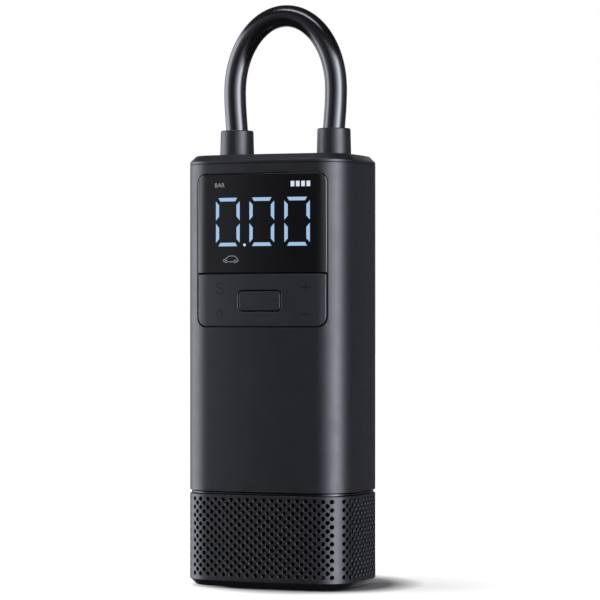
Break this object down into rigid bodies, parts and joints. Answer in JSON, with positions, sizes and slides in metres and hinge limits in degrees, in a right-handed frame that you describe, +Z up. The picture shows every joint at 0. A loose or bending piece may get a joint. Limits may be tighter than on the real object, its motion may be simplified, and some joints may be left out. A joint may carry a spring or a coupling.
{
  "type": "portable tire inflator",
  "caption": "Cordless tower tyre inflator with a rounded body, display window, key plate, perforated base and a stowed air hose that forms a carry loop.",
  "frame": {"origin": "middle of the rubber sole's lower face, under the middle of the body", "axes": "+X to the right of the display, +Y to the back, +Z up towards the hose loop; the display faces -Y"},
  "size_m": [0.07, 0.0486, 0.2292],
  "materials": {
    "shell": "satin charcoal, fine grain",
    "groove": "matt black",
    "inner_plastic": "matt black",
    "window": "polished, black tinted",
    "keys": "satin charcoal",
    "rubber": "matt",
    "hose": "glossy, smooth",
    "brass": "machined",
    "steel": "bright",
    "motor": null,
    "alloy": "die cast",
    "board": "green solder mask",
    "clear": "translucent",
    "white_plastic": "moulded",
    "cells": null
  },
  "bodies": {
    "housing": {"base_grille": "shell", "sleeve": "shell", "top_cap": "shell", "hose_root_collar": "shell", "waist_ring": "groove", "base_plate": "inner_plastic", "front_carrier": "inner_plastic", "inner_frame": "inner_plastic", "motor_end_cap": "inner_plastic", "display_window": "window", "rubber_sole": "rubber", "pump_grommet_1": "rubber", "pump_grommet_2": "rubber", "air_hose": "hose", "root_fitting": "brass", "base_screw_1": "steel", "base_screw_2": "steel", "base_screw_3": "steel", "base_screw_4": "steel", "board_screw_1": "steel", "board_screw_2": "steel", "board_screw_3": "steel", "board_screw_4": "steel", "cell_link_lower": "steel", "cell_link_upper": "steel", "usb_port": "steel", "pump_screw_1": "steel", "pump_screw_2": "steel", "motor_screw_1": "steel", "motor_screw_2": "steel", "gear_bearing": "steel", "motor_can": "motor", "pump_frame": "alloy", "cylinder": "alloy", "cylinder_head": "alloy", "front_board": "board", "main_board": "board", "charge_board": "board", "lamp_lens": "clear", "outlet_tube": "clear", "light_guide": "white_plastic", "pressure_sensor": "white_plastic", "battery_cell_1": "cells", "battery_cell_2": "cells", "battery_cell_3": "cells"},
    "start_button": {"start_button": "keys"},
    "key_mat": {"key_mat": "rubber"},
    "key_plate": {"key_plate": "keys"},
    "hose_end": {"hose_barb": "brass", "chuck_seal": "rubber"},
    "chuck": {"chuck_sleeve": "shell", "chuck_insert": "brass"},
    "rotor": {"motor_shaft": "steel", "motor_pinion": "brass"},
    "crank": {"drive_gear": "white_plastic", "crank_shaft": "steel"},
    "rod": {"connecting_rod": "alloy", "wrist_pin": "steel"},
    "piston": {"piston": "alloy", "piston_seal": "inner_plastic"}
  },
  "joints": [
    {"name": "start_button_press", "type": "slide", "parent": "housing", "child": "start_button", "axis": [0, 1, 0], "range_m": [0, 0.0008], "stiffness_N_per_m": 800},
    {"name": "keys_tilt_up_down", "type": "hinge", "parent": "housing", "child": "key_mat", "pos_m": [0, -0.02015, 0.1119], "axis": [1, 0, 0], "range_deg": [-1, 1], "stiffness_Nm_per_rad": 0.6},
    {"name": "keys_tilt_left_right", "type": "hinge", "parent": "key_mat", "child": "key_plate", "pos_m": [0, -0.02015, 0.1119], "axis": [0, 0, 1], "range_deg": [-1, 1], "stiffness_Nm_per_rad": 2.1},
    {"name": "nozzle_pull", "type": "slide", "parent": "housing", "child": "hose_end", "axis": [0, 0, 1], "range_m": [0, 0.022], "deforming": ["air_hose"]},
    {"name": "chuck_spin", "type": "hinge", "parent": "hose_end", "child": "chuck", "pos_m": [0.0207, 0.0025, 0.1693], "axis": [0, 0, 1], "continuous": true},
    {"name": "gear_spin", "type": "hinge", "parent": "housing", "child": "crank", "pos_m": [0.0133, -0.005, 0.0303], "axis": [1, 0, 0], "continuous": true},
    {"name": "motor_spin", "type": "hinge", "parent": "housing", "child": "rotor", "pos_m": [0.0133, 0.00631, 0.01682], "axis": [1, 0, 0], "continuous": true},
    {"name": "rod_swing", "type": "hinge", "parent": "crank", "child": "rod", "pos_m": [0.0195, -0.005, 0.0338], "axis": [1, 0, 0], "continuous": true},
    {"name": "piston_slide", "type": "slide", "parent": "housing", "child": "piston", "axis": [0, 0, 1], "range_m": [-0.007, 0]}
  ],
  "couplings": [
    {"joint": "motor_spin", "follows": "gear_spin", "ratio": -4},
    {"joint": "rod_swing", "follows": "gear_spin", "ratio": -1}
  ]
}
